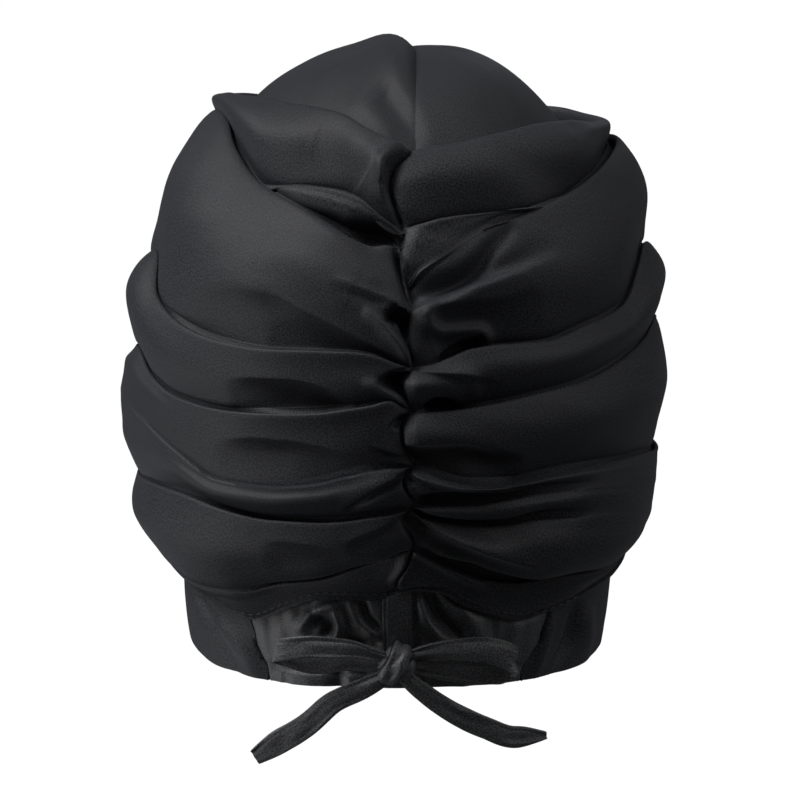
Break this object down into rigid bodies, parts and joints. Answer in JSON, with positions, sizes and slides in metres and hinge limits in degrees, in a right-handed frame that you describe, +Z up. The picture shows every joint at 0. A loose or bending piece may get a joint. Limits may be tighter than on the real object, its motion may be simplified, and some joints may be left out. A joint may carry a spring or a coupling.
{
  "type": "swim cap",
  "caption": "Turban-style fabric swim cap with deep pleats drawn into a gathered centre-back seam and a tied bow at the nape.",
  "frame": {"origin": "centre of the head opening, level with the middle of the tilted hem", "axes": "+Z up to the crown, +Y the way the wearer faces, +X to the wearer's right"},
  "size_m": [0.2094, 0.2272, 0.2656],
  "materials": {
    "stretch_satin": "fine matt stretch satin weave, black",
    "nape_satin": "gathered satin with a soft gloss, black",
    "tie_satin": "folded satin tape with a soft gloss, black"
  },
  "bodies": {
    "root": {"cap_panel_left": "stretch_satin", "cap_panel_right": "stretch_satin", "wrap_left": "stretch_satin", "wrap_right": "stretch_satin", "nape_panel": "nape_satin", "nape_strip": "nape_satin", "bow_knot": "tie_satin", "bow_loop_left": "tie_satin", "bow_loop_right": "tie_satin", "tie_tail_left": "tie_satin", "tie_tail_right": "tie_satin"}
  },
  "joints": []
}
